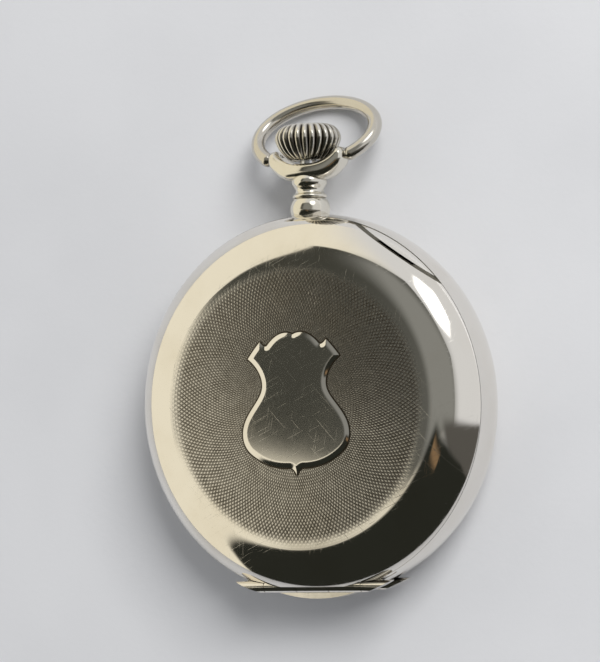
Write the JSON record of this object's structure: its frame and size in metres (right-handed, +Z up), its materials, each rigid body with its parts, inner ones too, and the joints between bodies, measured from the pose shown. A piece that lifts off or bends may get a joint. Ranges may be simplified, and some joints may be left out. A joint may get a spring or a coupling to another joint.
{
  "type": "hunter pocket watch",
  "caption": "Silver hunter pocket watch with hinged front and back covers, raised shield, pendant bow, fluted crown, dial and keyless lever movement.",
  "frame": {"origin": "centre of the worn flat on the back cover that the watch rests on", "axes": "+Z up through the front cover, +Y towards the pendant and bow, cover hinges at -Y"},
  "size_m": [0.051, 0.0679, 0.0137],
  "materials": {
    "silver": "polished",
    "silver_inner": "satin",
    "glass": "clear",
    "enamel": "gloss",
    "gilt_brass": "gilt",
    "nickel": "striped",
    "steel": "polished",
    "blued_steel": "blued",
    "ruby": "polished"
  },
  "bodies": {
    "case": {"case_middle": "silver", "front_hinge_pin": "silver", "back_hinge_pin": "silver", "dust_cap": "silver_inner", "pendant": "silver", "bezel": "silver", "crystal": "glass", "dial": "enamel", "seconds_dial": "enamel", "main_plate": "nickel", "barrel_bridge": "nickel", "train_bridge": "nickel", "balance_cock": "nickel", "pallet_cock": "nickel", "jewels": "ruby", "case_screws": "steel", "bridge_screws": "steel", "lift_spring": "steel", "spring_screws": "steel", "winding_posts": "steel", "regulator": "steel"},
    "front_cover": {"front_cover": "silver"},
    "back_cover": {"back_cover": "silver"},
    "bow": {"bow": "silver"},
    "sleeve": {"push_sleeve": "steel"},
    "crown": {"crown": "silver", "winding_stem": "steel", "winding_pinion": "steel"},
    "lock_spring": {"lock_spring": "steel"},
    "crown_wheel": {"crown_wheel": "steel"},
    "idler_wheel": {"idler_wheel": "steel"},
    "barrel_arbor": {"barrel_arbor": "steel", "ratchet_wheel": "steel"},
    "click": {"click": "steel"},
    "barrel": {"barrel": "gilt_brass", "barrel_cover": "gilt_brass", "mainspring": "blued_steel"},
    "centre_wheel": {"centre_wheel": "gilt_brass", "cannon_pinion": "steel", "minute_hand": "blued_steel"},
    "third_wheel": {"third_wheel": "gilt_brass"},
    "fourth_wheel": {"fourth_wheel": "gilt_brass", "seconds_hand": "blued_steel"},
    "escape_wheel": {"escape_wheel": "steel"},
    "pallet_fork": {"pallet_fork": "steel"},
    "balance": {"balance_wheel": "gilt_brass", "hairspring": "blued_steel", "hairspring_collet": "gilt_brass"},
    "minute_wheel": {"minute_wheel": "gilt_brass"},
    "hour_wheel": {"hour_wheel": "gilt_brass", "hour_hand": "blued_steel"}
  },
  "joints": [
    {"name": "front_cover_hinge", "type": "hinge", "parent": "case", "child": "front_cover", "pos_m": [0, -0.0241, 0.00965], "axis": [1, 0, 0], "range_deg": [0, 100]},
    {"name": "back_cover_hinge", "type": "hinge", "parent": "case", "child": "back_cover", "pos_m": [0, -0.0241, 0.00435], "axis": [-1, 0, 0], "range_deg": [0, 100]},
    {"name": "bow_hinge", "type": "hinge", "parent": "case", "child": "bow", "pos_m": [0, 0.0333, 0.007], "axis": [1, 0, 0], "range_deg": [-46, 123]},
    {"name": "crown_push", "type": "slide", "parent": "case", "child": "sleeve", "axis": [0, 1, 0], "range_m": [-0.0004, 0], "stiffness_N_per_m": 200},
    {"name": "crown_turn", "type": "hinge", "parent": "sleeve", "child": "crown", "pos_m": [0, 0.03, 0.007], "axis": [0, 1, 0], "continuous": true},
    {"name": "lock_spring_flex", "type": "hinge", "parent": "case", "child": "lock_spring", "pos_m": [0.01921, 0.01345, 0.007], "axis": [0, 0, 1], "range_deg": [0, 1.2]},
    {"name": "crown_wheel_turn", "type": "hinge", "parent": "case", "child": "crown_wheel", "pos_m": [0, 0.009, 0.008], "axis": [0, 0, 1], "continuous": true},
    {"name": "idler_wheel_turn", "type": "hinge", "parent": "case", "child": "idler_wheel", "pos_m": [-0.00386, 0.00461, 0.008], "axis": [0, 0, 1], "continuous": true},
    {"name": "barrel_arbor_turn", "type": "hinge", "parent": "case", "child": "barrel_arbor", "pos_m": [-0.009, 0, 0.005], "axis": [0, 0, 1], "continuous": true},
    {"name": "click_rock", "type": "hinge", "parent": "case", "child": "click", "pos_m": [-0.0124, -0.0052, 0.008], "axis": [0, 0, 1], "range_deg": [-8, 0], "stiffness_Nm_per_rad": 0.0001},
    {"name": "fourth_wheel_turn", "type": "hinge", "parent": "case", "child": "fourth_wheel", "pos_m": [0.011, 0, 0.005], "axis": [0, 0, 1], "continuous": true},
    {"name": "barrel_turn", "type": "hinge", "parent": "case", "child": "barrel", "pos_m": [-0.009, 0, 0.005], "axis": [0, 0, 1], "continuous": true},
    {"name": "centre_wheel_turn", "type": "hinge", "parent": "case", "child": "centre_wheel", "pos_m": [0, 0, 0.005], "axis": [0, 0, 1], "continuous": true},
    {"name": "third_wheel_turn", "type": "hinge", "parent": "case", "child": "third_wheel", "pos_m": [0.00625, -0.00358, 0.005], "axis": [0, 0, 1], "continuous": true},
    {"name": "escape_wheel_turn", "type": "hinge", "parent": "case", "child": "escape_wheel", "pos_m": [0.0157, -0.00171, 0.005], "axis": [0, 0, 1], "continuous": true},
    {"name": "pallet_fork_rock", "type": "hinge", "parent": "case", "child": "pallet_fork", "pos_m": [0.01313, -0.00547, 0.005], "axis": [0, 0, 1], "range_deg": [-5, 5], "stiffness_Nm_per_rad": 0.000002},
    {"name": "balance_swing", "type": "hinge", "parent": "case", "child": "balance", "pos_m": [0.009, -0.0115, 0.004], "axis": [0, 0, 1], "range_deg": [-150, 150], "stiffness_Nm_per_rad": 0.000002},
    {"name": "minute_wheel_turn", "type": "hinge", "parent": "case", "child": "minute_wheel", "pos_m": [0, -0.0036, 0.008], "axis": [0, 0, 1], "continuous": true},
    {"name": "hour_wheel_turn", "type": "hinge", "parent": "case", "child": "hour_wheel", "pos_m": [0, 0, 0.008], "axis": [0, 0, 1], "continuous": true}
  ],
  "couplings": [
    {"joint": "lock_spring_flex", "follows": "crown_push", "rad_per_m": -52.059},
    {"joint": "crown_wheel_turn", "follows": "crown_turn", "ratio": -0.6},
    {"joint": "idler_wheel_turn", "follows": "crown_turn", "ratio": 0.63158},
    {"joint": "barrel_arbor_turn", "follows": "crown_turn", "ratio": -0.44444},
    {"joint": "third_wheel_turn", "follows": "fourth_wheel_turn", "ratio": -0.13333},
    {"joint": "centre_wheel_turn", "follows": "fourth_wheel_turn", "ratio": 0.016667},
    {"joint": "barrel_turn", "follows": "fourth_wheel_turn", "ratio": -0.0025641},
    {"joint": "escape_wheel_turn", "follows": "fourth_wheel_turn", "ratio": -10},
    {"joint": "minute_wheel_turn", "follows": "fourth_wheel_turn", "ratio": -0.0055556},
    {"joint": "hour_wheel_turn", "follows": "fourth_wheel_turn", "ratio": 0.0013889}
  ]
}
